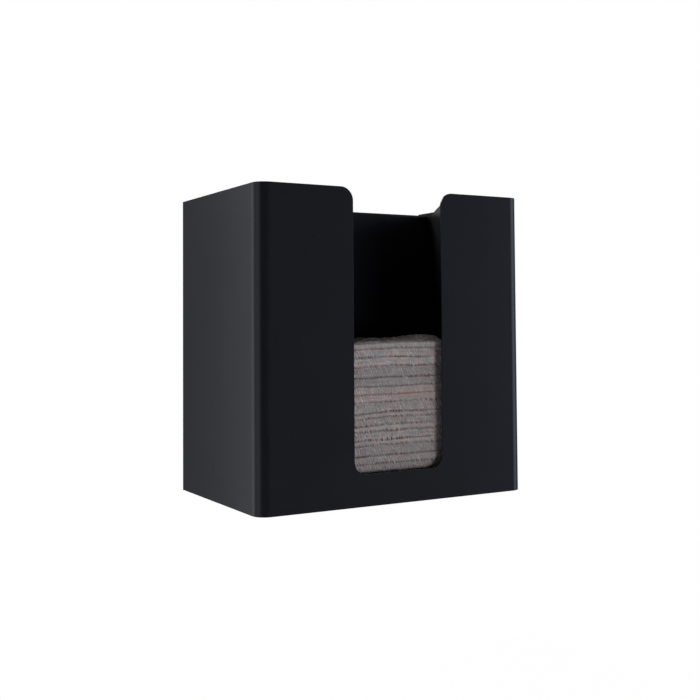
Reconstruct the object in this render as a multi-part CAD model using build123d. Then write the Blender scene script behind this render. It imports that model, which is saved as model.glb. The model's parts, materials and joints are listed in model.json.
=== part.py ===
"""Wall-hung hand towel dispenser: an open-topped sheet steel box with a slot in its front.

X runs to the right as the front is seen, Y runs into the wall and Z up. The wall is the plane Y = 0.
Heights below are measured from the box's underside. The written pieces are moved so that the origin
is the centre of the wall bracket's four screw holes, on the wall.
"""

import os

from build123d import *

# Housing: one bent sheet makes the front and both sides
width = 298.0
height = 300.0
depth = 186.0
wall_gap = 1.0
shell_sheet = 2.0
shell_bend = 13.0
slot_width = 100.0
sill_height = 30.0
slot_radius = 13.0

# Inner sheets, whose top edges lie a little below the housing's
inner_sheet = 1.5
inner_bend = 1.5
inner_drop = 3.0
panel_standoff = 18.0
flange_depth = 14.0
corner_relief = 3.0

# Floor pan
floor_recess = 1.0
floor_wall = 15.0
drain_diameter = 6.0
drain_spacing_x = 90.0
drain_spacing_y = 90.0

# Guide plates, which narrow the well towards the slot
guide_sheet = 1.2
guide_offset = 11.0
guide_front_flange = 17.0
guide_rear_flange = 10.0
guide_lift = 0.3
guide_clearance = 0.3
guide_stud_offset = 10.0
guide_stud_inset = 60.0

# Weld studs and their nuts
stud_diameter = 4.0
stud_length = 8.0
stud_clearance = 0.25
nut_flats = 7.0
nut_thickness = 3.2
thread_clearance = 0.03

# Hanger rail on the back panel, and the wall bracket that it hooks on
rail_width = 200.0
rail_sheet = 1.5
rail_flange = 20.0
rail_stud_spacing = 150.0
rail_leg_clearance = 2.0
hook_drop = 60.0
hook_clearance = 1.5
bracket_width = 200.0
bracket_sheet = 2.0
bracket_bend = 2.0
bracket_reach = 10.5
bracket_hook = 14.0
bracket_drop = 70.0
bracket_corner = 6.0
fixing_drop = 42.0
fixing_spacing_x = 160.0
fixing_spacing_z = 24.0
fixing_hole_diameter = 5.5

# Rubber bumpers that keep the box's foot off the wall
bumper_inset = 24.0
bumper_height = 24.0
bumper_base = 16.0
bumper_tip = 11.0
bumper_stem = 5.0
bumper_head = 7.0
bumper_head_thickness = 1.5
bumper_fit = 0.1

# Towels, each folded in four, with the closed folds to the front and the right. They fill the well
# but for the gaps. Each is as thick as the stack presses it at its front, from the bottom one up.
towel_front_gap = 12.0
towel_rear_gap = 2.0
towel_side_gap = 0.5
towel_thicknesses = [
    8.8, 8.9, 8.8, 8.0, 7.3, 9.9, 5.3, 8.4, 5.8, 6.9,
    5.0, 10.2, 7.3, 7.7, 8.7, 10.6, 8.6, 8.5, 5.6,
]
towel_front_fold = 2.2
towel_side_fold = 2.0
top_towel_gap = 0.3
top_towel_crown = 3.0

# How far a cut runs past the face that it leaves
past = 1.0

# Planes and heights that the pieces share
front_outer = -(wall_gap + depth)
front_inner = front_outer + shell_sheet
side_inner = width / 2 - shell_sheet
panel_rear = -panel_standoff
panel_front = panel_rear - inner_sheet
inner_top = height - inner_drop
floor_top = floor_recess + inner_sheet
pan_top = floor_recess + floor_wall
guide_front = slot_width / 2 + guide_offset
guide_rear = panel_front - guide_clearance
guide_run = guide_rear - guide_rear_flange - front_inner - guide_sheet / 2
guide_slope = (side_inner - guide_sheet / 2 - guide_front) / guide_run
towel_front = front_inner + towel_front_gap
towel_depth = panel_front - inner_sheet - towel_rear_gap - towel_front
towel_half_width = guide_front + guide_slope * towel_front_gap - guide_sheet - towel_side_gap
hook_height = height - hook_drop
fixing_height = hook_height - fixing_drop
seat_rear = -(bracket_reach - bracket_sheet)
leg_front = seat_rear + hook_clearance
rail_leg = bracket_hook - bracket_sheet / 2 - rail_leg_clearance
bumper_x = width / 2 - bumper_inset


def block(x_low, x_high, y_low, y_high, z_low, z_high):
    """A box between two corners."""
    size = (x_high - x_low, y_high - y_low, z_high - z_low)
    corner = (x_low, y_low, z_low)
    return Pos(*corner) * Box(*size, align=(Align.MIN, Align.MIN, Align.MIN))


def strip(points, sheet, inside_bend, plane, length):
    """A sheet bent along a line through the middle of its thickness, as wide as length both ways."""
    middle = FilletPolyline(*points, radius=inside_bend + sheet / 2)
    section = plane * trace(middle, sheet)
    return extrude(section, length / 2, both=True)


def rod(diameter, length, foot, axis):
    """A round bar that stands on foot along axis."""
    circle = Plane(origin=foot, z_dir=axis) * Circle(diameter / 2)
    return extrude(circle, length)


def drilled(diameter, sheet, mouth, axis):
    """What a drill takes out of a sheet, from the hole's mouth along axis."""
    start = [m - past * a for m, a in zip(mouth, axis)]
    return rod(diameter, sheet + 2 * past, start, axis)


def hex_nut(seat, axis):
    """A nut that stands on its seat along axis, with its bore a running fit on the stud."""
    plane = Plane(origin=seat, z_dir=axis)
    outline = RegularPolygon(nut_flats / 2, 6, major_radius=False)
    bore = Circle(stud_diameter / 2 + thread_clearance)
    return extrude(plane * (outline - bore), nut_thickness)


def edges_at(solid, axis, x=None, y=None, z=None):
    """The straight edges along axis that pass through the given coordinates."""
    found = solid.edges().filter_by(axis)
    for wanted, name in ((x, "X"), (y, "Y"), (z, "Z")):
        if wanted is not None:
            found = found.filter_by(lambda e: abs(getattr(e.center(), name) - wanted) < 0.01)
    return found


def housing_shell():
    """The front and sides, bent from one sheet, with the slot cut down from the top edge."""
    middle_x = (width - shell_sheet) / 2
    middle_y = front_outer + shell_sheet / 2
    points = [
        (-middle_x, -wall_gap),
        (-middle_x, middle_y),
        (middle_x, middle_y),
        (middle_x, -wall_gap),
    ]
    shell = strip(points, shell_sheet, shell_bend - shell_sheet, Plane.XY, height)
    shell = Pos(0, 0, height / 2) * shell
    half = slot_width / 2
    slot = block(-half, half, front_outer - past, front_inner + past, sill_height, height + past)
    slot = fillet(edges_at(slot, Axis.Y, z=sill_height), slot_radius)
    shell -= slot
    for side in (-half, half):
        shell = fillet(edges_at(shell, Axis.Y, x=side, z=height), slot_radius)
    return shell


def back_panel():
    """The upright panel seen through the slot, with flanges turned back at its top and sides."""
    rear = panel_front + flange_depth + inner_sheet

    def body(inset, radius, rear_reach, foot):
        solid = block(
            -side_inner + inset, side_inner - inset,
            panel_front + inset, rear + rear_reach,
            floor_recess - foot, inner_top - inset,
        )
        front_edges = edges_at(solid, Axis.Z, y=panel_front + inset)
        front_edges += edges_at(solid, Axis.X, y=panel_front + inset, z=inner_top - inset)
        return fillet(front_edges, radius)

    panel = body(0, inner_bend + inner_sheet, 0, 0) - body(inner_sheet, inner_bend, past, past)
    for side in (-1, 1):
        panel -= block(
            side * side_inner - corner_relief, side * side_inner + corner_relief,
            panel_rear + inner_bend, rear + past,
            inner_top - corner_relief, inner_top + past,
        )
        mouth = (side * bumper_x, panel_front, bumper_height)
        panel -= drilled(bumper_stem + 2 * bumper_fit, inner_sheet, mouth, (0, 1, 0))
    return panel


def floor_pan():
    """The folded floor: a plate with a wall turned up on each side, open corners and drain holes."""
    corner = shell_bend - shell_sheet
    bend = inner_sheet + inner_bend
    middle = (front_inner + panel_front) / 2
    half_x = side_inner - inner_sheet / 2
    half_y = (panel_front - front_inner - inner_sheet) / 2
    floor_z = floor_recess + inner_sheet / 2

    def turned_up(half, plane, length):
        points = [(-half, pan_top), (-half, floor_z), (half, floor_z), (half, pan_top)]
        return strip(points, inner_sheet, inner_bend, plane, length)

    across = turned_up(half_x, Plane.XZ, 2 * half_y + inner_sheet - 2 * corner)
    along = turned_up(half_y, Plane.YZ, 2 * (side_inner - corner))
    plate = block(
        -side_inner + bend, side_inner - bend,
        front_inner - middle + bend, panel_front - middle - bend,
        floor_recess, floor_top,
    )
    plate = fillet(plate.edges().filter_by(Axis.Z), corner - bend)
    pan = Pos(0, middle, 0) * (plate + across + along)
    for x in (-drain_spacing_x / 2, drain_spacing_x / 2):
        for y in (middle - drain_spacing_y / 2, middle + drain_spacing_y / 2):
            pan -= drilled(drain_diameter, inner_sheet, (x, y, floor_recess), (0, 0, 1))
    return pan


def guide_fixings(side):
    """The foot of each weld stud on the inside of the front, for the guide plate on one side."""
    x = side * (guide_front + guide_stud_offset)
    return [(x, front_inner, z) for z in (guide_stud_inset, inner_top - guide_stud_inset)]


def guide_plate(side):
    """A plate from beside the slot to the rear of the side wall, with a flange on each of them."""
    flange_y = front_inner + guide_sheet / 2
    flange_x = side_inner - guide_sheet / 2
    points = [
        (side * (guide_front + guide_front_flange), flange_y),
        (side * guide_front, flange_y),
        (side * flange_x, guide_rear - guide_rear_flange),
        (side * flange_x, guide_rear),
    ]
    low = floor_top + guide_lift
    plate = strip(points, guide_sheet, inner_bend, Plane.XY, inner_top - low)
    plate = Pos(0, 0, (inner_top + low) / 2) * plate
    inset = inner_sheet + inner_bend
    notch_top = pan_top + guide_clearance
    outside = block(
        -width / 2, width / 2,
        front_outer, panel_rear,
        low - past, notch_top,
    )
    inside = block(
        -side_inner + inset, side_inner - inset,
        front_inner + inset, panel_front - inset,
        low - past, notch_top,
    )
    plate -= outside - inside
    for fixing in guide_fixings(side):
        plate -= drilled(stud_diameter + 2 * stud_clearance, guide_sheet, fixing, (0, 1, 0))
    return plate


def guide_studs():
    """Four studs welded to the inside of the front, which hold the guide plates."""
    feet = guide_fixings(-1) + guide_fixings(1)
    return [rod(stud_diameter, stud_length, foot, (0, 1, 0)) for foot in feet]


def guide_nuts():
    """The nuts on those studs, tight on the guide plates' flanges."""
    feet = guide_fixings(-1) + guide_fixings(1)
    return [hex_nut((x, y + guide_sheet, z), (0, 1, 0)) for x, y, z in feet]


def rail_fixings():
    """The foot of each weld stud on the back panel's rear face, for the hanger rail."""
    z = hook_height + rail_flange / 2 + rail_sheet
    return [(x, panel_rear, z) for x in (-rail_stud_spacing / 2, 0, rail_stud_spacing / 2)]


def hanger_rail():
    """The strip behind the back panel whose rear leg hooks down behind the wall bracket's lip."""
    leg_y = leg_front + rail_sheet / 2
    web_z = hook_height + rail_sheet / 2
    flange_y = panel_rear + rail_sheet / 2
    points = [
        (leg_y, hook_height - rail_leg),
        (leg_y, web_z),
        (flange_y, web_z),
        (flange_y, hook_height + rail_sheet + rail_flange),
    ]
    rail = strip(points, rail_sheet, inner_bend, Plane.YZ, rail_width)
    for fixing in rail_fixings():
        rail -= drilled(stud_diameter + 2 * stud_clearance, rail_sheet, fixing, (0, 1, 0))
    return rail


def rail_studs():
    """Three studs welded to the back panel's rear face."""
    return [rod(stud_diameter, stud_length, foot, (0, 1, 0)) for foot in rail_fixings()]


def rail_nuts():
    """The nuts that hold the hanger rail on its studs."""
    return [hex_nut((x, y + rail_sheet, z), (0, 1, 0)) for x, y, z in rail_fixings()]


def wall_bracket():
    """The bracket screwed to the wall: a plate stepped forward and up into the lip that carries all."""
    plate_y = -bracket_sheet / 2
    lip_y = -(bracket_reach - bracket_sheet / 2)
    web_z = hook_height - bracket_hook
    foot = web_z - bracket_drop
    points = [(plate_y, foot), (plate_y, web_z), (lip_y, web_z), (lip_y, hook_height)]
    bracket = strip(points, bracket_sheet, bracket_bend, Plane.YZ, bracket_width)
    half = bracket_width / 2
    for x in (-half, half):
        for z in (foot, hook_height):
            bracket = fillet(edges_at(bracket, Axis.Y, x=x, z=z), bracket_corner)
    for x in (-fixing_spacing_x / 2, fixing_spacing_x / 2):
        for z in (-fixing_spacing_z / 2, fixing_spacing_z / 2):
            mouth = (x, -bracket_sheet, fixing_height + z)
            bracket -= drilled(fixing_hole_diameter, bracket_sheet, mouth, (0, 1, 0))
    return bracket


def wall_bumpers():
    """Two rubber studs pushed through the back panel near its foot, which touch the wall."""
    profile = Polyline(
        (0, panel_front - bumper_head_thickness),
        (bumper_head / 2, panel_front - bumper_head_thickness),
        (bumper_head / 2, panel_front),
        (bumper_stem / 2, panel_front),
        (bumper_stem / 2, panel_rear),
        (bumper_base / 2, panel_rear),
        (bumper_tip / 2, 0),
        (0, 0),
        close=True,
    )
    bumper = revolve(make_face(profile), Axis.Y)
    return [Pos(side * bumper_x, 0, bumper_height) * bumper for side in (-1, 1)]


def towel(low, thickness):
    """One folded towel on the height low: the block that its front fold and its side fold share."""
    front = towel_front
    half = towel_half_width
    high = low + thickness
    seen_from_right = block(-half, half, front, front + towel_depth, low, high)
    seen_from_right = fillet(edges_at(seen_from_right, Axis.X, y=front), towel_front_fold)
    seen_from_front = block(-half, half, front, front + towel_depth, low, high)
    seen_from_front = fillet(edges_at(seen_from_front, Axis.Y, x=half), towel_side_fold)
    return seen_from_right & seen_from_front


def top_towel(low, thickness):
    """The top towel, whose upper face rises to a crown between its sides."""
    front = towel_front
    half = towel_half_width
    high = low + thickness
    sides = Polyline((-half, high), (-half, low), (half, low), (half, high))
    over = ThreePointArc((half, high), (0, high + top_towel_crown), (-half, high))
    solid = Pos(0, front, 0) * extrude(Plane.XZ * make_face(sides + over), -towel_depth)
    front_edges = solid.edges().filter_by(lambda e: abs(e.center().Y - front) < 0.01)
    front_edges = front_edges.filter_by(lambda e: abs(e.center().X) < 0.01)
    solid = fillet(front_edges, towel_front_fold)
    return fillet(edges_at(solid, Axis.Y, x=half), towel_side_fold)


def towels():
    """The stack on the pan's floor, from the bottom one up. The top one lies loose and crowned."""
    stack = []
    low = floor_top
    for thickness in towel_thicknesses[:-1]:
        stack.append(towel(low, thickness))
        low += thickness
    stack.append(top_towel(low + top_towel_gap, towel_thicknesses[-1]))
    return stack


def write(node, solids):
    """One STEP file for a node, moved so that the origin is the centre of the screw holes."""
    group = solids if isinstance(solids, list) else [solids]
    solid_list = [solid for shape in group for solid in shape.solids()]
    made = solid_list[0] if len(solid_list) == 1 else Compound(children=solid_list)
    made = Pos(0, 0, -fixing_height) * made
    made.label = node
    export_step(made, f"parts/{node}.step")
    print(node, len(solid_list), "solids", round(sum(s.volume for s in solid_list)), "mm3")


os.makedirs("parts", exist_ok=True)
write("housing_shell", housing_shell())
write("back_panel", back_panel())
write("floor_pan", floor_pan())
write("guide_plate_left", guide_plate(-1))
write("guide_plate_right", guide_plate(1))
write("guide_studs", guide_studs())
write("guide_nuts", guide_nuts())
write("hanger_rail", hanger_rail())
write("rail_studs", rail_studs())
write("rail_nuts", rail_nuts())
write("wall_bracket", wall_bracket())
write("wall_bumpers", wall_bumpers())
for number, solid in enumerate(towels(), start=1):
    write(f"towel_{number:02d}", solid)
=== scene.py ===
# %% [markdown]
# # A hand towel dispenser
# A wall-hung box of folded sheet steel, powder-coated black, holds a stack of folded terry towels. The
# steel comes from CAD, so this script dresses it: it breaks the sharp edges, gives each metal its finish,
# threads the fasteners, and folds nineteen real sheets of cloth where CAD only has solid blocks. Everything
# is in metres, in the frame of the part: X to the right, Y into the wall, Z up.

import json
import math

import bmesh
import bpy
import numpy as np
from mathutils import Matrix, Vector, noise

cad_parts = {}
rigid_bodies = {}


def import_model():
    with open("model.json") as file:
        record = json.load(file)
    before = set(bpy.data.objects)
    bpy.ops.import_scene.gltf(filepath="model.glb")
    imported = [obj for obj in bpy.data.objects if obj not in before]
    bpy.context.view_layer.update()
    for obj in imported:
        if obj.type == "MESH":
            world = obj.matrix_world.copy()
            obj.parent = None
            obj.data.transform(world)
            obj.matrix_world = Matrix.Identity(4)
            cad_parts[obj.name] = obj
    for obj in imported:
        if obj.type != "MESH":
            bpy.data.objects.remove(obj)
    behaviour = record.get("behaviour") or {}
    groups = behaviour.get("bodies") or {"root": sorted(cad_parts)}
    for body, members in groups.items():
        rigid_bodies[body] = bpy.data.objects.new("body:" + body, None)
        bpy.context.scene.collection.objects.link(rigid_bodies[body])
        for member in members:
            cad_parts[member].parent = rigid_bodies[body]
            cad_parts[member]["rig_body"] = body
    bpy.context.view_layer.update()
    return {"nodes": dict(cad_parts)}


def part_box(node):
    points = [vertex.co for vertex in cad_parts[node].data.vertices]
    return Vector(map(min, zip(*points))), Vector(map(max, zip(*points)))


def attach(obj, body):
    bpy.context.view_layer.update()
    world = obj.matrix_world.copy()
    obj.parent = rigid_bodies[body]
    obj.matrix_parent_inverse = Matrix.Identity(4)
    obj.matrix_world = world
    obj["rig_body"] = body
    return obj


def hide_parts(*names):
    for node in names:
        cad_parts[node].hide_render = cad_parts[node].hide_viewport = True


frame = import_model()
MM = 0.001
print("nodes:", len(frame["nodes"]))

# %% [markdown]
# ## The camera
# The photograph was taken from the left, about level with the middle of the box, and looks up by two
# degrees. Its angles were fitted to the box's own corners. A view is a turn about Z, then a tilt, then a
# small roll, and a shift slides the picture without changing the perspective.

# %% Camera
PICTURE = 700
FOCAL_PIXELS = 1038.1
SENSOR = 36.0
camera_place = Vector((-0.5369, -1.0291, -0.0242))
camera_turns = {"Z": math.radians(-29.828), "X": math.radians(90 + 2.126)}
camera_roll = math.radians(-0.378)

camera_data = bpy.data.cameras.new("camera")
camera_data.sensor_width = SENSOR
camera_data.lens = FOCAL_PIXELS * SENSOR / PICTURE
camera_data.shift_y = -0.0962
camera_data.clip_start = 0.01
camera = bpy.data.objects.new("camera", camera_data)
bpy.context.scene.collection.objects.link(camera)
heading = Matrix.Rotation(camera_turns["Z"], 4, "Z")
tilt = Matrix.Rotation(camera_turns["X"], 4, "X")
roll = Matrix.Rotation(camera_roll, 4, "Z")
camera.matrix_world = Matrix.Translation(camera_place) @ heading @ tilt @ roll
bpy.context.scene.camera = camera
bpy.context.scene.view_settings.view_transform = "Standard"
print("lens:", round(camera_data.lens, 2), "mm")

# %% [markdown]
# ## Two helpers for materials
# Colours are written as hex codes, as on a paint chart, and a renderer needs them linear. Nodes are added
# by one function that takes the node's settings and its inputs, where an input is a value or another node's
# output.

# %% Colours and nodes
def linear(code):
    """A hex sRGB colour as linear red, green, blue and alpha."""
    parts = [int(code[i:i + 2], 16) / 255 for i in (0, 2, 4)]
    return [p / 12.92 if p <= 0.04045 else ((p + 0.055) / 1.055) ** 2.4 for p in parts] + [1.0]


def add(tree, kind, inputs=None, **settings):
    """One node in tree. inputs maps a socket's name or number to a value or to an output to link."""
    made = tree.nodes.new(kind)
    for name, value in settings.items():
        setattr(made, name, value)
    for key, value in (inputs or {}).items():
        if isinstance(value, bpy.types.NodeSocket):
            tree.links.new(value, made.inputs[key])
        else:
            made.inputs[key].default_value = value
    return made


def new_material(name):
    """An empty node material and its tree."""
    material = bpy.data.materials.new(name)
    material.use_nodes = True
    material.node_tree.nodes.clear()
    return material, material.node_tree


def per_mm(size):
    """The scale of a noise or cell pattern whose grains are so many millimetres apart."""
    return 1 / (size * MM)


def colour_between(tree, factor, first, second):
    """A colour that goes from one hex colour to another with a factor."""
    mixed = add(tree, "ShaderNodeMix", {0: factor, 6: linear(first), 7: linear(second)}, data_type="RGBA")
    return mixed.outputs[2]


def finish_with(tree, shader):
    """Ends a material's tree in its surface."""
    add(tree, "ShaderNodeOutputMaterial", {"Surface": shader.outputs[0]})


# %% [markdown]
# ## Satin black powder coat
# The box is polyester powder coat on steel: powder is sprayed on dry and melted in an oven. It gives the
# eye a deep black with a soft, wide sheen and a very fine skin like an orange's, about a millimetre and a
# half from bump to bump. It is a plastic skin, so it isn't metallic, and its IOR is that of polyester. The
# skin is a bump in the shading, because it is only hundredths of a millimetre high.

# %% Powder coat
def powder_coat():
    material, tree = new_material("satin_polyester_powder_coat")
    place = add(tree, "ShaderNodeTexCoord").outputs["Object"]
    skin = add(tree, "ShaderNodeTexNoise", {"Vector": place, "Scale": per_mm(1.6), "Detail": 1.0})
    cloud = add(tree, "ShaderNodeTexNoise", {"Vector": place, "Scale": per_mm(60), "Detail": 2.0})
    bump = add(tree, "ShaderNodeBump", {"Height": skin.outputs[0], "Strength": 0.35, "Distance": 0.03 * MM})
    rough = add(tree, "ShaderNodeMapRange", {"Value": cloud.outputs[0], "To Min": 0.26, "To Max": 0.31})
    colour = colour_between(tree, cloud.outputs[0], "0F1016", "12131A")
    shader = add(tree, "ShaderNodeBsdfPrincipled", {
        "Base Color": colour, "Roughness": rough.outputs[0], "IOR": 1.5, "Normal": bump.outputs[0]})
    finish_with(tree, shader)
    return material


coat = powder_coat()
print("made", coat.name)

# %% [markdown]
# ## Galvanised steel, zinc plate and rubber
# The rail and the wall bracket are hot-dip galvanised sheet: zinc crystals, called spangle, lie side by
# side like frost flowers and each takes the light a little differently. Cells of a Voronoi pattern do that.
# The studs and nuts are zinc-plated, brighter and smoother, with a trace of blue from the passivation. The
# bumpers are moulded rubber, matt and a little dusty. Metals keep the default IOR.

# %% Metals and rubber
def galvanised():
    material, tree = new_material("hot_dip_galvanised_steel")
    place = add(tree, "ShaderNodeTexCoord").outputs["Object"]
    spangle = add(tree, "ShaderNodeTexVoronoi", {"Vector": place, "Scale": per_mm(5)})
    streak = add(tree, "ShaderNodeTexNoise", {"Vector": place, "Scale": per_mm(2), "Detail": 4.0})
    grey = add(tree, "ShaderNodeSeparateColor", {"Color": spangle.outputs["Color"]})
    colour = colour_between(tree, grey.outputs[0], "A3A7AA", "C3C6C7")
    rough = add(tree, "ShaderNodeMapRange", {"Value": grey.outputs[1], "To Min": 0.32, "To Max": 0.52})
    bump = add(tree, "ShaderNodeBump", {"Height": streak.outputs[0], "Strength": 0.3, "Distance": 0.05 * MM})
    shader = add(tree, "ShaderNodeBsdfPrincipled", {
        "Base Color": colour, "Metallic": 1.0, "Roughness": rough.outputs[0], "Normal": bump.outputs[0]})
    finish_with(tree, shader)
    return material


def zinc_plate():
    material, tree = new_material("blue_passivated_zinc_plate")
    place = add(tree, "ShaderNodeTexCoord").outputs["Object"]
    haze = add(tree, "ShaderNodeTexNoise", {"Vector": place, "Scale": per_mm(3), "Detail": 3.0})
    colour = colour_between(tree, haze.outputs[0], "B9BDC6", "D2D2CC")
    rough = add(tree, "ShaderNodeMapRange", {"Value": haze.outputs[0], "To Min": 0.22, "To Max": 0.36})
    shader = add(tree, "ShaderNodeBsdfPrincipled", {
        "Base Color": colour, "Metallic": 1.0, "Roughness": rough.outputs[0]})
    finish_with(tree, shader)
    return material


def moulded_rubber():
    material, tree = new_material("moulded_epdm_rubber")
    place = add(tree, "ShaderNodeTexCoord").outputs["Object"]
    dust = add(tree, "ShaderNodeTexNoise", {"Vector": place, "Scale": per_mm(0.8), "Detail": 5.0})
    colour = colour_between(tree, dust.outputs[0], "17171A", "262628")
    bump = add(tree, "ShaderNodeBump", {"Height": dust.outputs[0], "Strength": 0.5, "Distance": 0.05 * MM})
    shader = add(tree, "ShaderNodeBsdfPrincipled", {
        "Base Color": colour, "Roughness": 0.75, "IOR": 1.52, "Normal": bump.outputs[0]})
    finish_with(tree, shader)
    return material


spangled = galvanised()
plated = zinc_plate()
rubber = moulded_rubber()
print("made", spangled.name, plated.name, rubber.name)

# %% [markdown]
# ## Cotton terry
# Terry is a woven ground with loops of yarn standing up from it. The light grey cotton is mottled, because
# loops lie this way and that, and deep in the seams a warm brown is painted in, as the shade there and the
# light that bounces from cloth to cloth. Each towel carries four numbers on its points: tint is its own grey
# after many washes, the seam shade is painted and rises where two folds meet, warmth is where the coloured
# stripe is woven in, and shade is how light one loop is beside the next, while the ground under the loops
# is painted dark as the shade between them. Where no loops stand, pressed ones show as cells in the cloth's
# own flat map.
# Sheen stands for the fuzz of fibres, and is one value all over.

# %% Terry cloth
LOOP_STEP = 2.9


def terry():
    material, tree = new_material("washed_cotton_terry")
    coordinates = add(tree, "ShaderNodeTexCoord").outputs
    place = coordinates["Object"]
    mottle = add(tree, "ShaderNodeTexNoise", {"Vector": place, "Scale": per_mm(6), "Detail": 3.0})
    hue = add(tree, "ShaderNodeTexNoise", {"Vector": place, "Scale": per_mm(9), "Detail": 2.0})
    yarn = add(tree, "ShaderNodeTexNoise", {"Vector": place, "Scale": per_mm(0.7), "Detail": 2.0})
    pressed = add(tree, "ShaderNodeTexVoronoi", {"Vector": coordinates["UV"], "Scale": per_mm(LOOP_STEP)})
    tint = add(tree, "ShaderNodeAttribute", attribute_name="tint").outputs["Fac"]
    seam_shade = add(tree, "ShaderNodeAttribute", attribute_name="seam_shade").outputs["Fac"]
    warmth = add(tree, "ShaderNodeAttribute", attribute_name="warmth").outputs["Fac"]
    shade = add(tree, "ShaderNodeAttribute", attribute_name="shade").outputs["Fac"]

    def calculate(operation, first, second):
        return add(tree, "ShaderNodeMath", {0: first, 1: second}, operation=operation).outputs[0]

    def blend(factor, first, code):
        made = add(tree, "ShaderNodeMix", {0: factor, 6: first, 7: linear(code)}, data_type="RGBA")
        return made.outputs[2]

    def spread(value, low, high):
        made = add(tree, "ShaderNodeMapRange", {
            "Value": value, "From Min": 0.3, "From Max": 0.7, "To Min": low, "To Max": high})
        return made.outputs[0]

    hues = add(tree, "ShaderNodeMapRange", {"Value": hue.outputs[0], "From Min": 0.35, "From Max": 0.65})
    cool_or_pink = colour_between(tree, hues.outputs[0], "ABAEB1", "C1B0AE")
    washed = blend(tint, cool_or_pink, "A09C9E")
    each = add(tree, "ShaderNodeMapRange", {"Value": shade, "To Min": 0.55, "To Max": 1.25}).outputs[0]
    level = calculate("MULTIPLY", spread(mottle.outputs[0], 0.86, 1.08), spread(yarn.outputs[0], 0.9, 1.08))
    level = calculate("MULTIPLY", level, each)
    mottled = add(tree, "ShaderNodeVectorMath", {0: washed, "Scale": level}, operation="SCALE").outputs[0]
    # 745A54 is painted brown shade deep in the seams.
    coloured = blend(warmth, blend(seam_shade, mottled, "745A54"), "B78F82")
    height = calculate("SUBTRACT", yarn.outputs[0], pressed.outputs["Distance"])
    bump = add(tree, "ShaderNodeBump", {"Height": height, "Strength": 0.8, "Distance": 0.4 * MM})
    shader = add(tree, "ShaderNodeBsdfPrincipled", {
        "Base Color": coloured, "Roughness": 0.95, "IOR": 1.45, "Sheen Weight": 0.2, "Sheen Roughness": 0.5,
        "Normal": bump.outputs[0]})
    finish_with(tree, shader)
    return material


cotton = terry()
print("made", cotton.name)

# %% [markdown]
# ## Steel pieces with broken edges
# A laser leaves a sharp edge and the coating rounds it: on the real box the edge is a thin bright or dark
# line. CAD's mesh is loose triangles with knife edges. A copy is merged, its flat faces are joined, and a
# Bevel modifier rounds only the sharp edges, by about a quarter of a millimetre. The bends stay as CAD made
# them, and are shaded smooth. The rubber bumpers are finished the same way.

# %% Finishing a CAD node
SHARP_ANGLE = math.radians(34)
FLAT_ANGLE = math.radians(0.6)
SAME_PLACE = 1e-6


def plain_mesh(maker):
    """The object's evaluated shape as a plain mesh, with its modifiers gone and its faces smooth-shaded."""
    bpy.context.view_layer.update()
    evaluated = maker.evaluated_get(bpy.context.evaluated_depsgraph_get())
    mesh = bpy.data.meshes.new_from_object(evaluated)
    maker.modifiers.clear()
    maker.data = mesh
    return maker


def merged_copy(node):
    """A copy of a CAD node's mesh with its triangles joined up."""
    shape = bmesh.new()
    shape.from_mesh(frame["nodes"][node].data)
    bmesh.ops.remove_doubles(shape, verts=shape.verts, dist=SAME_PLACE)
    return shape


def link_piece(name, mesh, material):
    """A new object in the scene with one material."""
    mesh.materials.clear()
    mesh.materials.append(material)
    piece = bpy.data.objects.new(name, mesh)
    bpy.context.scene.collection.objects.link(piece)
    return piece


def seat(piece, slot, *nodes):
    """The piece rides with its CAD nodes' body and stands for them, which are hidden. slot is not used."""
    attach(piece, frame["nodes"][nodes[0]]["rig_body"])
    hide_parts(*nodes)
    return piece


def finished(node, name, material, slot, edge):
    """A CAD node with broken edges. edge is the width of the rounding in millimetres."""
    shape = merged_copy(node)
    bmesh.ops.dissolve_limit(
        shape, angle_limit=FLAT_ANGLE, verts=shape.verts, edges=shape.edges, delimit={"NORMAL"})
    mesh = bpy.data.meshes.new(name)
    shape.to_mesh(mesh)
    shape.free()
    mesh.shade_smooth()
    piece = link_piece(name, mesh, material)
    bevel = piece.modifiers.new("broken_edge", "BEVEL")
    bevel.width = edge * MM
    bevel.segments = 2
    bevel.limit_method = "ANGLE"
    bevel.angle_limit = SHARP_ANGLE
    level = piece.modifiers.new("flat_faces_stay_flat", "WEIGHTED_NORMAL")
    level.mode = "FACE_AREA"
    level.weight = 100
    plain_mesh(piece)
    piece.data.materials.clear()
    piece.data.materials.append(material)
    print(name, "faces", len(piece.data.polygons))
    return seat(piece, slot, node)


# Node, material, slot and the rounding of its edges in millimetres.
sheet_and_rubber = [
    ("housing_shell", coat, "powder_coat", 0.3),
    ("back_panel", coat, "powder_coat", 0.25),
    ("floor_pan", coat, "powder_coat", 0.25),
    ("guide_plate_left", coat, "powder_coat", 0.25),
    ("guide_plate_right", coat, "powder_coat", 0.25),
    ("hanger_rail", spangled, "galvanised", 0.2),
    ("wall_bracket", spangled, "galvanised", 0.2),
    ("wall_bumpers", rubber, "rubber", 0.3),
]
for node, material, slot, edge in sheet_and_rubber:
    finished(node, node + "_finished", material, slot, edge)

# %% [markdown]
# ## Threaded studs and nuts
# Weld studs are threaded rod, shot onto the sheet with an arc, and each carries a hexagon nut. One stud and
# one nut are made by a formula, and Geometry Nodes put a copy at each place that CAD gives, because they
# are all alike. The thread is a real helix: the rod's radius rises and falls once for each pitch along it.

# %% Places of the fasteners
def loose_parts(node):
    """The lowest and highest corner of each separate solid in a CAD node."""
    shape = merged_copy(node)
    left = set(shape.verts)
    boxes = []
    while left:
        group, reached = set(), [left.pop()]
        while reached:
            vert = reached.pop()
            group.add(vert)
            for link in vert.link_edges:
                other = link.other_vert(vert)
                if other in left:
                    left.discard(other)
                    reached.append(other)
        points = np.array([v.co for v in group])
        boxes.append((Vector(points.min(0)), Vector(points.max(0))))
    shape.free()
    return sorted(boxes, key=lambda b: (b[0].x, b[0].z))


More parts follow.
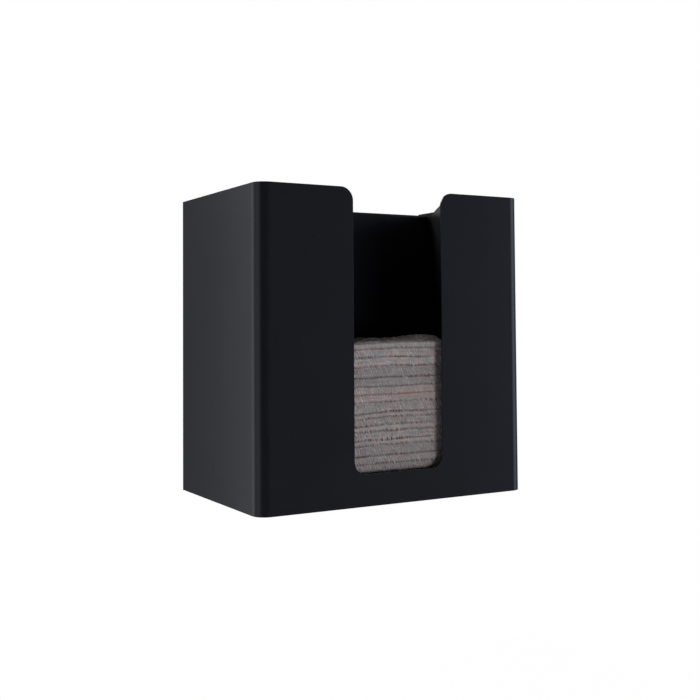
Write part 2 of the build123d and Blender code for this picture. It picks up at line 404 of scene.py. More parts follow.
studs = {node: loose_parts(node) for node in ("guide_studs", "rail_studs", "guide_nuts", "rail_nuts")}
print({node: len(boxes) for node, boxes in studs.items()})

# %% One stud, one nut
# Lengths in millimetres. The collar is the plain foot of a stud, as a share of its length. A nut's chamfer
# is a share of its height, and cuts the corners off from one radius to another, given as shares of half
# its width across flats.
THREAD_PITCH = 0.7
THREAD_DEPTH = 0.4
RINGS_PER_TURN = 6
ROD_SIDES = 20
ROD_COLLAR = 0.1
ROD_CHAMFER = 0.5
NUT_SIDES = 48
NUT_CHAMFER = 0.12
NUT_FACE = 0.97
NUT_CORNER = 1.16


def round_mesh(name, rings, around):
    """A closed round body about the Y axis. Each ring is a function of the angle that gives (radius, y)."""
    shape = bmesh.new()
    rows = []
    for ring in rings:
        row = []
        for i in range(around):
            angle = 2 * math.pi * i / around
            radius, along = ring(angle)
            row.append(shape.verts.new((radius * math.cos(angle), along, radius * math.sin(angle))))
        rows.append(row)
    for below, above in zip(rows, rows[1:]):
        for i in range(around):
            j = (i + 1) % around
            shape.faces.new((below[i], below[j], above[j], above[i]))
    shape.faces.new(rows[0][::-1])
    shape.faces.new(rows[-1])
    bmesh.ops.recalc_face_normals(shape, faces=shape.faces)
    mesh = bpy.data.meshes.new(name)
    shape.to_mesh(mesh)
    shape.free()
    return mesh


def threaded_rod(name, radius, length):
    """A stud from y = 0 to its length, in metres, with its thread and a chamfered end."""
    steps = int(length / (THREAD_PITCH * MM) * RINGS_PER_TURN)
    collar = ROD_COLLAR * length

    def ring(step):
        along = length * step / steps

        def at(angle):
            turn = along / (THREAD_PITCH * MM) - angle / (2 * math.pi)
            groove = abs((turn % 1) - 0.5) * 2
            depth = THREAD_DEPTH * MM * groove * (along > collar)
            end = max(0, along - (length - ROD_CHAMFER * MM))
            return radius - max(depth, end), along
        return at
    return round_mesh(name, [ring(step) for step in range(steps + 1)], ROD_SIDES)


def hexagon_nut(name, flats, bore, height):
    """A nut from y = 0 to its height, with chamfered corners. The bore is filled by the stud."""
    def hole(along):
        return lambda angle: (bore, along)

    def ring(along, corner):
        def at(angle):
            sector = (angle + math.pi / 6) % (math.pi / 3) - math.pi / 6
            return min(flats / 2 / math.cos(sector), flats / 2 * corner), along
        return at
    low, high = NUT_CHAMFER * height, (1 - NUT_CHAMFER) * height
    rings = [
        hole(0), ring(0, NUT_FACE), ring(low, NUT_CORNER), ring(high, NUT_CORNER), ring(height, NUT_FACE),
        hole(height)]
    return round_mesh(name, rings, NUT_SIDES)


# %% Copies by Geometry Nodes
def fastener_tree():
    """A node tree that puts a copy of one fastener on each point, and gives it a material."""
    tree = bpy.data.node_groups.new("fasteners_on_points", "GeometryNodeTree")
    tree.interface.new_socket("Geometry", in_out="INPUT", socket_type="NodeSocketGeometry")
    tree.interface.new_socket("Fastener", in_out="INPUT", socket_type="NodeSocketObject")
    tree.interface.new_socket("Material", in_out="INPUT", socket_type="NodeSocketMaterial")
    tree.interface.new_socket("Geometry", in_out="OUTPUT", socket_type="NodeSocketGeometry")
    given = add(tree, "NodeGroupInput")
    part = add(tree, "GeometryNodeObjectInfo", {"Object": given.outputs["Fastener"]})
    copies = add(tree, "GeometryNodeInstanceOnPoints", {
        "Points": given.outputs["Geometry"], "Instance": part.outputs["Geometry"]})
    real = add(tree, "GeometryNodeRealizeInstances", {"Geometry": copies.outputs[0]})
    painted = add(tree, "GeometryNodeSetMaterial", {
        "Geometry": real.outputs[0], "Material": given.outputs["Material"]})
    add(tree, "NodeGroupOutput", {"Geometry": painted.outputs[0]})
    return tree


def set_inputs(modifier, values):
    """Sets a Geometry Nodes modifier's inputs, found by their names, through their identifiers."""
    for item in modifier.node_group.interface.items_tree:
        if item.in_out == "INPUT" and item.name in values:
            modifier[item.identifier] = values[item.name]


def smooth_by_angle(mesh):
    """Smooth shading, with edges sharper than the limit kept crisp."""
    shape = bmesh.new()
    shape.from_mesh(mesh)
    for edge in shape.edges:
        edge.smooth = len(edge.link_faces) == 2 and edge.calc_face_angle(0) < SHARP_ANGLE
    shape.to_mesh(mesh)
    shape.free()
    mesh.shade_smooth()


fasteners = fastener_tree()


def fasten(node, name, one, material, slot):
    """Copies of one mesh at the seats of a CAD node's solids, as one piece."""
    smooth_by_angle(one)
    sample = bpy.data.objects.new(name + "_one", one)
    seats = [((low.x + high.x) / 2, low.y, (low.z + high.z) / 2) for low, high in studs[node]]
    points = bpy.data.meshes.new(name)
    points.from_pydata(seats, [], [])
    piece = bpy.data.objects.new(name, points)
    bpy.context.scene.collection.objects.link(piece)
    modifier = piece.modifiers.new("copies", "NODES")
    modifier.node_group = fasteners
    set_inputs(modifier, {"Fastener": sample, "Material": material})
    plain_mesh(piece)
    bpy.data.objects.remove(sample)
    print(name, "copies", len(seats), "faces", len(piece.data.polygons))
    return seat(piece, slot, node)


for kind in ("guide", "rail"):
    low, high = studs[kind + "_studs"][0]
    nut_low, nut_high = studs[kind + "_nuts"][0]
    rod = threaded_rod(kind + "_rod", (high.x - low.x) / 2, high.y - low.y)
    fasten(kind + "_studs", kind + "_studs_threaded", rod, plated, "zinc")
    flats = min(nut_high.x - nut_low.x, nut_high.z - nut_low.z)
    nut = hexagon_nut(kind + "_nut", flats, (high.x - low.x) / 2, nut_high.y - nut_low.y)
    fasten(kind + "_nuts", kind + "_nuts_chamfered", nut, plated, "zinc")

# %% [markdown]
# ## Folded towels
# Each towel is one rectangular sheet of terry, 264 by 300 mm, folded in half across its width and then in
# half along its length, which makes four plies and one blunt fold at the front. It could be a rounded block
# with lines drawn on it, but real folds show their plies at the sides and the rear, so the sheet is a grid
# of points that a formula folds twice. Across the width it runs along the outer ply, round the side fold
# and back along the inner ply. Along the length it runs below, round the front nose and back above. The
# nose is a superellipse: with a power of 2 it would be round, and the weight of the stack squares it off.

# %% Sizes of the cloth
# The flat size is in metres, because the cloth's flat map wants it so. Other lengths
# here are in millimetres. CROWN is what the top towel's solid has above its folded height.
FLAT = (0.264, 0.300)
PILE = 0.9
CLOTH_SHARE = 0.96
CROWN = 3.0
NOSE_SHARE = 0.1
NOSE_POWER = 7
LEFT_MARGIN = 0.5
REAR_MARGIN = 0.8

# How unevenly the plies end at the left and at the rear, and how far a towel slips at the front.
LEFT_STAGGER = 3.2
STAGGER_FADE = 30.0
REAR_STAGGER = 3.0
SLIP = 0.7

# How the pile has settled: a hump, and at the rear a sag that is full on the left.
HUMP = 2.6
HUMP_X = 15.0
REAR_SAG = 3.0
SAG_FULL_X = 10.0
SAG_GONE_X = 45.0

# How the top towel's upper face stands up. Behind the nose it rises slowly on the left and quickly on the
# right.
LIFT = 2.4
LIFT_START_X = -16.0
LIFT_FULL_X = 4.0
SPRING = 4.6
SPRING_X = 66.0
SPRING_BACK = 30.0
SPRING_WIDTH = 24.0
SPRING_LENGTH = 48.0
SLOW_RISE = 70.0
QUICK_RISE = 14.0
QUICK_START_X = 30.0
DROP = 2.2
DROP_LENGTH = 150.0

# The towels on either side of the seam with the woven stripe, and which side of each meets it: 1 is the
# upper. Painted brown shade deep in a seam takes this share of its full colour, and the ground under the
# loops is painted as dark as the darkest loop, for the shade between the loops.
STRIPE = {"towel_13": 1, "towel_14": -1}
SEAM_SHADE = 0.6
DARKEST = 0.25
towel_nodes = sorted(n for n in frame["nodes"] if n.startswith("towel_"))
top_node = towel_nodes[-1]
stack_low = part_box(towel_nodes[0])[0] / MM
stack_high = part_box(top_node)[1] / MM
half_width = stack_high.x
print("towels:", len(towel_nodes), "stack height:", round(stack_high.z - stack_low.z, 1), "mm")


# %% How the whole stack settles
def wave(a, b, c):
    """A smooth random number from about -1 to 1, the same on every run. A bare number given to it only
    picks a stretch of it, and a number under a length is how far apart its waves are."""
    return noise.noise(Vector((a, b, c)))


def ramp(value, start, end):
    """0 up to start, 1 from end on, and even between them. The end may be the lower one."""
    return min(1, max(0, (value - start) / (end - start)))


def settled(x, y, z, slip):
    """A point of the stack in millimetres, moved as the pile has settled: humped in the middle, lower at the
    rear left, a bit uneven."""
    share = (z - stack_low.z) / (stack_high.z - stack_low.z)
    front = 1 - (y - stack_low.y) / (stack_high.y - stack_low.y)
    across = 0.1 - ((x - HUMP_X) / half_width) ** 2
    sag = REAR_SAG * (1 - front) ** 2 * ramp(x, SAG_GONE_X, SAG_FULL_X)
    ripple = 0.9 * wave(x / 34, y / 60, z / 26) + 0.6 * wave(x / 12, y / 40, z / 9)
    rise = share * (HUMP * across - sag) + ripple * min(1, 3 * share)
    return x, y - front * (slip + 0.5 * wave(x / 22, z / 5, 7.3)), z + rise


def loft(x, back):
    """How far the upper face of the top towel stands up, with nothing on it, at a distance back from its
    nose. It is lifted right of its left third, springs up most near the side fold's front, and drops to the
    rear."""
    lifted = LIFT * ramp(x, LIFT_START_X, LIFT_FULL_X)
    aside = (x - SPRING_X) / SPRING_WIDTH
    behind = (back - SPRING_BACK) / SPRING_LENGTH
    spring = SPRING * math.exp(-aside ** 2 - behind ** 2)
    drop = DROP * (back / DROP_LENGTH) ** 2
    rise_length = SLOW_RISE + (QUICK_RISE - SLOW_RISE) * ramp(x, QUICK_START_X, SPRING_X)
    start = ramp(back, 0, rise_length)
    return start * start * (3 - 2 * start) * (lifted + spring - drop)


class Towel:
    """The measures of one folded towel, taken from its CAD node, in millimetres."""

    def __init__(self, node, number):
        low, high = (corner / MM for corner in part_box(node))
        self.crown = CROWN if node == top_node else 0.0
        self.thick = high.z - low.z - self.crown
        self.ply = self.thick / 4
        self.middle = low.z + self.thick / 2
        self.cloth = CLOTH_SHARE * self.ply
        self.slip = SLIP * wave(number * 3.7, 1.5, 0.2)
        self.tint = 0.5 + 0.9 * wave(number * 2.3, 9.1, 4.4)
        self.outer = 1.5 * self.ply
        self.inner = 0.5 * self.ply
        self.surface = self.outer + self.cloth / 2
        self.side = high.x - PILE / 2 - self.cloth / 2 - self.inner
        self.left = low.x + LEFT_MARGIN
        self.nose = low.y + PILE + self.cloth / 2 + self.outer
        self.rear = high.y - REAR_MARGIN
        self.uneven = [wave(number * 1.9, 3.3, k * 2.7) for k in range(6)]

    def place(self, x, offset, along):
        """The point at a distance offset from the towel's middle. along goes from -1, rear below, over 0,
        the nose, to 1, rear above. The nose takes the middle tenth of it each way."""
        ply = ramp(offset, self.inner, self.outer)
        power = 2 + (NOSE_POWER - 2) * ply
        upper = along > 0
        edge = max(0, 1 - (x - self.left) / STAGGER_FADE)
        inwards = abs(self.uneven[upper] * (1 - ply) + self.uneven[2 + upper] * ply)
        x += edge * (LEFT_STAGGER * inwards + 0.5 + 0.5 * wave(along * 3, self.middle, ply * 4))
        if abs(along) <= NOSE_SHARE:
            angle = along / NOSE_SHARE * math.pi / 2
            y = self.nose - offset * max(0, math.cos(angle)) ** (2 / power)
            z = offset * math.copysign(abs(math.sin(angle)) ** (2 / power), angle)
        else:
            share = (abs(along) - NOSE_SHARE) / (1 - NOSE_SHARE)
            short = abs(self.uneven[4 + upper] * (1 - ply) + self.uneven[upper] * ply)
            y = self.nose + share * (self.rear - REAR_STAGGER * short - self.nose)
            z = math.copysign(offset, along)
        crown = bool(self.crown) * loft(x, y - self.nose) * min(1, max(0, z) / self.outer) ** 0.35
        return settled(x, y, self.middle + z + crown, self.slip)

    def nose_place(self, share):
        """The value of along at a share of the nose's half height, from -1 to 1."""
        angle = math.asin(abs(share) ** (NOSE_POWER / 2))
        return math.copysign(NOSE_SHARE * angle / (math.pi / 2), share)

    def flat_place(self, distance):
        """The value of along at a distance in millimetres behind the nose, on the upper face."""
        return NOSE_SHARE + (1 - NOSE_SHARE) * distance / (self.rear - self.nose)


# %% Folding the sheets
def width_path(towel, flat_steps, fold_steps):
    """(x, offset) pairs across the width: the outer ply, the side fold and the inner ply."""
    step = (towel.side - towel.left) / flat_steps
    outer = [(towel.left + step * i, towel.outer) for i in range(flat_steps)]
    fold = []
    for i in range(fold_steps + 1):
        turn = math.pi * i / fold_steps
        offset = towel.ply * (1 + 0.5 * math.cos(turn))
        fold.append((towel.side + 0.5 * towel.ply * math.sin(turn), offset))
    return outer + fold + [(x, towel.inner) for x, _ in reversed(outer)]


def length_path(flat_steps, nose_steps):
    """Values of along, closer together round the nose."""
    flat = [NOSE_SHARE + (1 - NOSE_SHARE) * (i / flat_steps) for i in range(1, flat_steps + 1)]
    nose = [NOSE_SHARE * (2 * i / nose_steps - 1) for i in range(nose_steps + 1)]
    return [-a for a in reversed(flat)] + nose + flat


def seam_depth(along):
    """How much painted brown shade the cloth has, for the shade deep in a seam: none on the flat of the
    nose, most where it turns under, and none again a few millimetres further in."""
    share = abs(along) / NOSE_SHARE
    return SEAM_SHADE * min(ramp(share, 0.75, 1), ramp(share, 1.4, 1))


def give(mesh, name, values, kind="FLOAT", part="value"):
    """Stores one value per point in a mesh attribute."""
    layer = mesh.attributes.new(name, kind, "POINT")
    layer.data.foreach_set(part, np.array(values, np.float32).ravel())


def fold_towel(node, number):
    """One towel as a folded sheet of cloth with its thickness, as a piece."""
    towel = Towel(node, number)
    across = width_path(towel, flat_steps=22, fold_steps=8)
    along = length_path(flat_steps=18, nose_steps=16)
    verts, flat_places, seams, stripes = [], [], [], []
    for i, (x, offset) in enumerate(across):
        for a in along:
            verts.append(Vector(towel.place(x, offset, a)) * MM)
            flat_places.append((FLAT[0] * i / (len(across) - 1), FLAT[1] * (a + 1) / 2))
            # seams holds the painted brown shade where the cloth turns under into a seam.
            seams.append(seam_depth(a))
            patchy = min(0.8, max(0, 0.2 + 1.6 * wave(x / 7, 4.4, a)))
            stripes.append(float(STRIPE.get(node, 0) * a > 0) * seam_depth(a) * patchy)
    rows = len(along)
    faces = [
        (i * rows + j, (i + 1) * rows + j, (i + 1) * rows + j + 1, i * rows + j + 1)
        for i in range(len(across) - 1) for j in range(rows - 1)]
    mesh = bpy.data.meshes.new(node)
    mesh.from_pydata(verts, [], faces)
    flat_map = mesh.uv_layers.new(name="flat")
    corners = np.array([flat_places[loop.vertex_index] for loop in mesh.loops], np.float32)
    flat_map.data.foreach_set("uv", corners.ravel())
    give(mesh, "tint", [towel.tint] * len(verts))
    give(mesh, "seam_shade", seams)
    give(mesh, "warmth", stripes)
    # The ground under the loops is painted dark, for the shade between the loops.
    give(mesh, "shade", [DARKEST] * len(verts))
    mesh.shade_smooth()
    piece = link_piece("folded_" + node, mesh, cotton)
    wall = piece.modifiers.new("cloth", "SOLIDIFY")
    wall.thickness = towel.cloth * MM
    wall.offset = 0
    soft_edge = piece.modifiers.new("soft_cut_edge", "BEVEL")
    soft_edge.width = 0.3 * towel.cloth * MM
    soft_edge.segments = 2
    soft_edge.limit_method = "ANGLE"
    soft_edge.angle_limit = math.radians(62)
    plain_mesh(piece)
    seat(piece, "terry", node)
    return towel, piece


towels = {}
for number, node in enumerate(towel_nodes, 1):
    towels[node] = fold_towel(node, number)
print("folded", len(towels), "towels of", len(towels[top_node][1].data.polygons), "faces each")

# %% [markdown]
# ## Terry loops
# The pile is what makes terry look like terry: rows of yarn loops, about 2.9 mm apart, that all lean one
# way from washing and show as short slanted strokes. They stand on the fronts, at the side folds and on the
# two top towels' upper faces. Python works out where each loop stands, which way it grows and how it lies,
# and Geometry Nodes put a bent tube of yarn there, turned and sized a little at random. The seams show
# painted brown shade below a fold and a trace of pink above it, in stretches, and one seam near the middle
# holds a warm woven stripe.

# %% Where the loops stand
# Lengths in millimetres. OUTERMOST is how near a seam a row may stand, as a share of the nose's half
# height. HEM and HEM_SEAM are counted from the cloth's cut edges, BARE_REAR from its rear.
ROW_STEP = 2.6
JITTER = 0.5
SLANT = math.radians(32)
OUTERMOST = 0.97
HEM = 9.0
HEM_SEAM = 7.0
STITCH_STEP = 3.0
BARE_REAR = 6.0

# The two rows of a side fold stand this far to either side of straight out.
SIDE_TURN = 0.6

# Sizes of loops, from and to, as shares of a pile's own height and width.
PLAIN = (0.8, 1.15)
SNAGGED = (1.4, 1.9)
KEPT_SHORT = 0.75
SNAG_SHARE = 1 / 14

# Every second loop at the foot of a front is painted brown, as shade in the seam below it, and so is
# BROWN_SHARE of the others. A trace of pink is at the top. The stripe starts and is full at these shares of
# the nose's half height, counted towards its seam, and WARM_SHARE of its loops are of warm yarn.
BROWN_SHARE = 0.25
PINK_TRACE = 0.35
STRIPE_START = -0.3
STRIPE_FULL = 0.45
WARM_SHARE = 0.7
chance = np.random.default_rng(7)


def outward(towel, x, offset, along):
    """A place on the cloth and the way out of it, from three points close together on its surface."""
    here = Vector(towel.place(x, offset, along))
    beside = Vector(towel.place(x + 0.3, offset, along)) - here
    onwards = Vector(towel.place(x, offset, along + 0.002)) - here
    return here, beside.cross(onwards).normalized()


def lie_of(axis, grow, slant):
    """The direction in which a loop lies on the cloth: across the axis, turned by the slant."""
    return (math.sin(slant) * axis + math.cos(slant) * axis.cross(grow)).normalized()


def across_row(towel, row):
    """The x places of one row of loops, not quite even. Every second row is shifted by half a step."""
    start = towel.left + 1 + LOOP_STEP * (0.25 + 0.5 * (row % 2))
    places = np.arange(start, towel.side - 0.5, LOOP_STEP)
    return places + chance.uniform(-JITTER, JITTER, len(places))


def loop(here, grow, axis, seam_shade=0.0, warmth=0.0, snags=0.0, slant=SLANT):
    """What one loop needs to know, as a dict. snags is the share of pulled loops, which stand higher."""
    size = chance.uniform(*SNAGGED) if chance.random() < snags else chance.uniform(*PLAIN)
    return {
        "here": here, "grow": grow, "lie": lie_of(axis, grow, slant), "seam_shade": seam_shade, "warmth": warmth,
        "size": size, "shade": chance.uniform(DARKEST, 1.0)}


ACROSS, INWARD = Vector((1, 0, 0)), Vector((0, 1, 0))


def nose_loops(node, towel):
    """The loops on a towel's front, in level rows from seam to seam. The top towel's lowest row is kept
    short, because it hangs free when the towel is lifted."""
    rows = max(2, round(2 * towel.surface / ROW_STEP))
    spread = rows / (rows - 0.6)
    found = []
    for row in range(rows):
        share = spread * (2 * (row + 0.5) / rows - 1)
        share = max(-OUTERMOST, min(OUTERMOST, share))
        along = towel.nose_place(share)
        for i, x in enumerate(across_row(towel, row)):
            here, grow = outward(towel, x, towel.surface, along)
            stretch = max(0, min(1, 0.35 + 2.2 * wave(x / 16, here.z / 7, 2.2)))
            # The dotted brown at the foot of a front is painted shade of the seam.
            dot = row == 0 and (i % 2 == 0 or chance.random() < BROWN_SHARE)
            seam_shade = dot * (0.35 + 0.65 * stretch)
            warmth = PINK_TRACE * (row == rows - 1) * stretch
            nearness = STRIPE.get(node, 0) * share
            if node in STRIPE and nearness > STRIPE_START:
                seam_shade *= 0.3
                warmth = (0.8 if nearness > STRIPE_FULL else 0.4) + 0.4 * wave(x / 11, 5.5, share)
                warmth *= chance.random() < WARM_SHARE
            found.append(loop(here, grow, ACROSS, seam_shade, warmth))
            if node == top_node and row == 0:
                found[-1]["size"] *= KEPT_SHORT
    return found


def side_loops(towel):
    """The loops on the two side folds, below and above, pressed flat by the plate beside them."""
    radius = 0.5 * towel.ply + towel.cloth / 2
    found = []
    for upper in (-1, 1):
        for row in range(int((towel.rear - BARE_REAR - towel.nose) / LOOP_STEP)):
            along = upper * towel.flat_place((row + 0.5) * LOOP_STEP)
            for step in (-SIDE_TURN, SIDE_TURN):
                turn = math.pi / 2 + step
                x = towel.side + radius * math.sin(turn)
                here = towel.place(x, towel.ply + radius * math.cos(turn), along)
                grow = Vector((math.sin(turn), 0, upper * math.cos(turn)))
                # The side loops carry a little painted brown seam shade.
                found.append(loop(Vector(here), grow, INWARD, 0.2))
    return found


def top_loops(towel):
    """The loops on a towel's upper face, clear of its hems. A few are snagged and stand higher."""
    found = []
    for row in range(int((towel.rear - HEM - 2 - towel.nose) / ROW_STEP)):
        along = towel.flat_place((row + 0.5) * ROW_STEP)
        for x in across_row(towel, row):
            if x > towel.left + HEM + 1:
                found.append(loop(*outward(towel, x, towel.surface, along), ACROSS, snags=SNAG_SHARE))
    return found


def hem_stitches(towel):
    """The stitches of the hems on the upper face, in a row along the left edge and one along the rear."""
    long = range(int((towel.rear - HEM - towel.nose) / STITCH_STEP))
    found = []
    for i in long:
        place = outward(towel, towel.left + HEM_SEAM, towel.surface, towel.flat_place(i * STITCH_STEP))
        found.append(loop(*place, INWARD, slant=math.pi / 2))
    for x in np.arange(towel.left + HEM, towel.side, STITCH_STEP):
        place = outward(towel, x, towel.surface, towel.flat_place(towel.rear - HEM_SEAM - towel.nose))
        found.append(loop(*place, ACROSS, slant=math.pi / 2))
    return found


# %% The pile's node tree
# How far a loop may be turned out of its lie about each of its axes, in radians.
STRAY = (0.25, 0.3, 0.35)
ARCH_STEPS = 5
YARN_SIDES = 5


def grow_tree():
    """A node tree that puts a bent tube of yarn on each point, along its 'grow' and 'lie' directions."""
    tree = bpy.data.node_groups.new("terry_pile", "GeometryNodeTree")
    face = tree.interface
    face.new_socket("Geometry", in_out="INPUT", socket_type="NodeSocketGeometry")
    for name in ("Loop Height", "Loop Width", "Yarn Radius", "Lean"):
        face.new_socket(name, in_out="INPUT", socket_type="NodeSocketFloat")
    face.new_socket("Seed", in_out="INPUT", socket_type="NodeSocketInt")
    face.new_socket("Material", in_out="INPUT", socket_type="NodeSocketMaterial")
    face.new_socket("Geometry", in_out="OUTPUT", socket_type="NodeSocketGeometry")
    given = add(tree, "NodeGroupInput").outputs

    def calculate(operation, first, second):
        return add(tree, "ShaderNodeMath", {0: first, 1: second}, operation=operation).outputs[0]

    half = calculate("MULTIPLY", given["Loop Width"], 0.5)
    start = add(tree, "ShaderNodeCombineXYZ", {"X": calculate("MULTIPLY", half, -1.0)})
    middle = add(tree, "ShaderNodeCombineXYZ", {"Z": calculate("MULTIPLY", given["Loop Height"], 2.0)})
    end = add(tree, "ShaderNodeCombineXYZ", {"X": half})
    arch = add(tree, "GeometryNodeCurveQuadraticBezier", {
        "Resolution": ARCH_STEPS,
        "Start": start.outputs[0], "Middle": middle.outputs[0], "End": end.outputs[0]})
    yarn = add(tree, "GeometryNodeCurvePrimitiveCircle", {
        "Resolution": YARN_SIDES, "Radius": given["Yarn Radius"]})
    tube = add(tree, "GeometryNodeCurveToMesh", {"Curve": arch.outputs[0], "Profile Curve": yarn.outputs[0]})
    smooth = add(tree, "GeometryNodeSetShadeSmooth", {"Geometry": tube.outputs[0]})
    grow = add(tree, "GeometryNodeInputNamedAttribute", {"Name": "grow"}, data_type="FLOAT_VECTOR")
    lie = add(tree, "GeometryNodeInputNamedAttribute", {"Name": "lie"}, data_type="FLOAT_VECTOR")
    upright = add(tree, "FunctionNodeAxesToRotation", {
        "Primary Axis": grow.outputs[0], "Secondary Axis": lie.outputs[0]},
        primary_axis="Z", secondary_axis="X")
    size = add(tree, "GeometryNodeInputNamedAttribute", {"Name": "size"}, data_type="FLOAT")
    stray = add(tree, "FunctionNodeRandomValue", {
        0: [-angle for angle in STRAY], 1: STRAY, "Seed": given["Seed"]}, data_type="FLOAT_VECTOR")
    lean = add(tree, "ShaderNodeCombineXYZ", {"X": given["Lean"]})
    turn = add(tree, "ShaderNodeVectorMath", {0: stray.outputs[0], 1: lean.outputs[0]}, operation="ADD")
    turned = add(tree, "FunctionNodeRotateRotation", {
        "Rotation": upright.outputs[0], "Rotate By": turn.outputs[0]}, rotation_space="LOCAL")
    copies = add(tree, "GeometryNodeInstanceOnPoints", {
        "Points": given["Geometry"], "Instance": smooth.outputs[0], "Rotation": turned.outputs[0],
        "Scale": size.outputs[0]})
    real = add(tree, "GeometryNodeRealizeInstances", {"Geometry": copies.outputs[0]})
    painted = add(tree, "GeometryNodeSetMaterial", {
        "Geometry": real.outputs[0], "Material": given["Material"]})
    add(tree, "NodeGroupOutput", {"Geometry": painted.outputs[0]})
    return tree


pile_tree = grow_tree()


def grow_pile(node, towel, name, loops, height, width, yarn=0.5, lean=0.5):
    """The loops of one face of a towel, or its hem stitches, as a piece. Sizes are in millimetres, and lean
    is how far the loops lean over, in radians."""
    mesh = bpy.data.meshes.new(name)
    mesh.from_pydata([one["here"] * MM for one in loops], [], [])
    for key in ("seam_shade", "warmth", "size", "shade"):
        give(mesh, key, [one[key] for one in loops])
    give(mesh, "tint", [towel.tint] * len(loops))
    for key in ("grow", "lie"):
        give(mesh, key, [one[key] for one in loops], "FLOAT_VECTOR", "vector")
    piece = bpy.data.objects.new(name, mesh)
    bpy.context.scene.collection.objects.link(piece)
    modifier = piece.modifiers.new("pile", "NODES")
    modifier.node_group = pile_tree
    set_inputs(modifier, {
        "Loop Height": height * MM, "Loop Width": width * MM, "Yarn Radius": yarn * MM, "Lean": lean,
        "Seed": 11 + towel_nodes.index(node), "Material": cotton})
    plain_mesh(piece)
    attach(piece, frame["nodes"][node]["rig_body"])
    return piece


# %% Growing them
# The height and width of a loop in millimetres. Those on the top face stand free, those below are pressed.
FRONT_LOOP = (1.15, 2.9)
SIDE_LOOP = (0.45, 2.4)
TOP_LOOP = (0.8, 2.8)
PRESSED_LOOP = (0.4, 2.8)
STITCH = (0.45, 2.3)

total = 0
for node, (towel, piece) in towels.items():
    piles = [
        grow_pile(node, towel, "front_loops_" + node, nose_loops(node, towel), *FRONT_LOOP),
        grow_pile(node, towel, "side_loops_" + node, side_loops(towel), *SIDE_LOOP)]
    if node in towel_nodes[-2:]:
        size = TOP_LOOP if node == top_node else PRESSED_LOOP
        piles.append(grow_pile(node, towel, "top_loops_" + node, top_loops(towel), *size))
        stitches = hem_stitches(towel)
        piles.append(grow_pile(node, towel, "hem_stitches_" + node, stitches, *STITCH, yarn=0.3, lean=0.0))
    total += sum(len(p.data.polygons) for p in piles)
print("pile faces:", total)

# %% [markdown]
# ## Floor, backdrop and light
# The box hangs on a wall, so the floor lies well below it and only catches a soft shadow. Camera rays see
# the floor and the world as white. Gloss sees a dim room that is darkest towards the camera, which is what
# keeps a satin black box black, and a narrow white backdrop behind it to the right. A wall would hide a
# wider one. The towels are lit by a low lamp in front that leaves no highlight on the coat. Most of it
# stands lower than the towels' top, so the top stays dark, and the right upright throws its shadow on their
# right end. A high lamp behind and two lamps on the left draw the edges and shade the left wall, and a
# bluish one on the right lights the front's right side and its bend.

# %% Floor
# The floor shines a little brighter than white, so that its edge doesn't show against the world.
FLOOR_DEPTH = 1.1
FLOOR_REACH = 1.8
FLOOR_SHINE = 1.02
SHINE_SHARE = 0.97


def pale_floor():
    """Shows as white to the camera and in gloss, apart from a little paint that catches the shadow."""
    material, tree = new_material("pale_studio_floor")
    rays = add(tree, "ShaderNodeLightPath").outputs
    either = add(tree, "ShaderNodeMath", {
        0: rays["Is Camera Ray"], 1: rays["Is Glossy Ray"]}, operation="MAXIMUM")
    shown = add(tree, "ShaderNodeMath", {
        0: either.outputs[0], 1: rays["Is Transmission Ray"]}, operation="MAXIMUM")
    share = add(tree, "ShaderNodeMath", {0: shown.outputs[0], 1: SHINE_SHARE}, operation="MULTIPLY")
    paint = add(tree, "ShaderNodeBsdfPrincipled", {"Base Color": linear("F0F0EF"), "Roughness": 0.9})
    white = add(tree, "ShaderNodeEmission", {"Color": linear("FFFFFF"), "Strength": FLOOR_SHINE})
    both = add(tree, "ShaderNodeMixShader", {0: share.outputs[0], 1: paint.outputs[0], 2: white.outputs[0]})
    finish_with(tree, both)
    return material


floor_mesh = bpy.data.meshes.new("floor")
floor_corners = [
    (x * FLOOR_REACH, y * FLOOR_REACH, -FLOOR_DEPTH) for x, y in ((-1, -1), (1, -1), (1, 1), (-1, 1))]
floor_mesh.from_pydata(floor_corners, [], [(0, 1, 2, 3)])
floor = link_piece("floor", floor_mesh, pale_floor())

# %% World
# Directions seen from the box, as unit vectors.
BACKDROP_WAY = (0.64, 0.768, 0.0)
CAMERA_WAY = (-0.42, -0.907, 0.0)


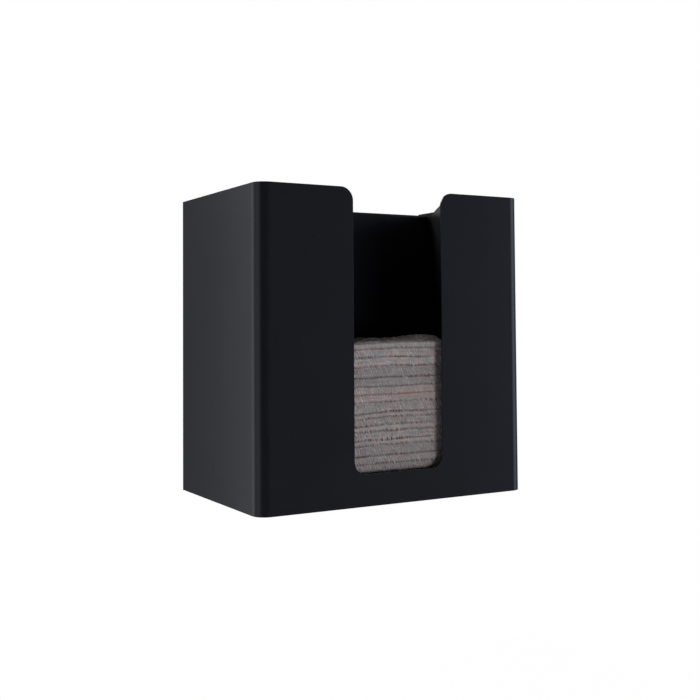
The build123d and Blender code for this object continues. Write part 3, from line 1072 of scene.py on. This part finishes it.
def studio_world():
    """White to the camera, a dim room with a narrow backdrop to gloss, and light from below to all else."""
    world = bpy.data.worlds.new("studio")
    world.use_nodes = True
    tree = world.node_tree
    tree.nodes.clear()
    rays = add(tree, "ShaderNodeLightPath").outputs
    way = add(tree, "ShaderNodeTexCoord").outputs["Generated"]
    behind = add(tree, "ShaderNodeVectorMath", {0: way, 1: BACKDROP_WAY}, operation="DOT_PRODUCT")
    backdrop = add(tree, "ShaderNodeMapRange", {
        "Value": behind.outputs["Value"], "From Min": 0.95, "From Max": 0.995, "To Min": 0.0, "To Max": 1.0},
        interpolation_type="SMOOTHSTEP")
    gloss = add(tree, "ShaderNodeMath", {
        0: backdrop.outputs[0], 1: rays["Is Glossy Ray"]}, operation="MULTIPLY")
    direct = add(tree, "ShaderNodeMath", {
        0: rays["Is Camera Ray"], 1: rays["Is Transmission Ray"]}, operation="MAXIMUM")
    shown = add(tree, "ShaderNodeMath", {0: gloss.outputs[0], 1: direct.outputs[0]}, operation="MAXIMUM")
    front = add(tree, "ShaderNodeVectorMath", {0: way, 1: CAMERA_WAY}, operation="DOT_PRODUCT")
    dark_side = add(tree, "ShaderNodeMapRange", {
        "Value": front.outputs["Value"], "From Min": 0.6, "From Max": 0.95, "To Min": 0.155, "To Max": 0.03})
    height = add(tree, "ShaderNodeSeparateXYZ", {"Vector": way}).outputs["Z"]
    dome = add(tree, "ShaderNodeMapRange", {
        "Value": height, "From Min": -0.35, "From Max": 0.1, "To Min": 1.0, "To Max": 0.05})
    level = add(tree, "ShaderNodeMix", {
        0: rays["Is Glossy Ray"], 2: dome.outputs[0], 3: dark_side.outputs[0]})
    room = add(tree, "ShaderNodeBackground", {"Color": linear("F0F2F8"), "Strength": level.outputs[0]})
    white = add(tree, "ShaderNodeBackground", {"Color": linear("FFFFFF"), "Strength": 1.0})
    both = add(tree, "ShaderNodeMixShader", {0: shown.outputs[0], 1: room.outputs[0], 2: white.outputs[0]})
    add(tree, "ShaderNodeOutputWorld", {"Surface": both.outputs[0]})
    bpy.context.scene.world = world
    return world


studio_world()


# %% Lamps
def soft_lamp(name, place, target, width, height, radiance, colour, glossy=True):
    """An oblong softbox that looks at a point. radiance is how bright its face looks, where 1 is white. A
    lamp that isn't glossy lights cloth and leaves no highlight on the coat."""
    data = bpy.data.lights.new(name, "AREA")
    data.shape = "RECTANGLE"
    data.size = width
    data.size_y = height
    data.energy = math.pi * width * height * radiance
    data.color = linear(colour)[:3]
    lamp = bpy.data.objects.new(name, data)
    bpy.context.scene.collection.objects.link(lamp)
    lamp.location = place
    lamp.rotation_euler = (Vector(target) - Vector(place)).to_track_quat("-Z", "Y").to_euler()
    lamp.visible_camera = False
    lamp.visible_glossy = glossy
    return lamp


box_middle = (0.0, -0.1, -0.05)
soft_lamp("key_softbox", (-0.08, -2.37, -0.22), box_middle, 0.7, 0.5, 21.2, "FFFCF8", glossy=False)
soft_lamp("high_back_softbox", (-0.5, 1.7, 1.4), box_middle, 1.2, 1.2, 7.0, "FFFCF8")
soft_lamp("back_left_softbox", (-0.96, 0.45, -0.05), (-0.96, 0.0, -0.05), 1.0, 1.3, 0.8, "F4F7FF")
soft_lamp("left_softbox", (-1.6, -0.35, -0.05), (0.0, -0.35, -0.05), 1.1, 1.3, 0.45, "F4F7FF")
soft_lamp("right_softbox", (1.9, -1.0, 0.1), box_middle, 1.2, 1.6, 1.3, "CFDCFF")
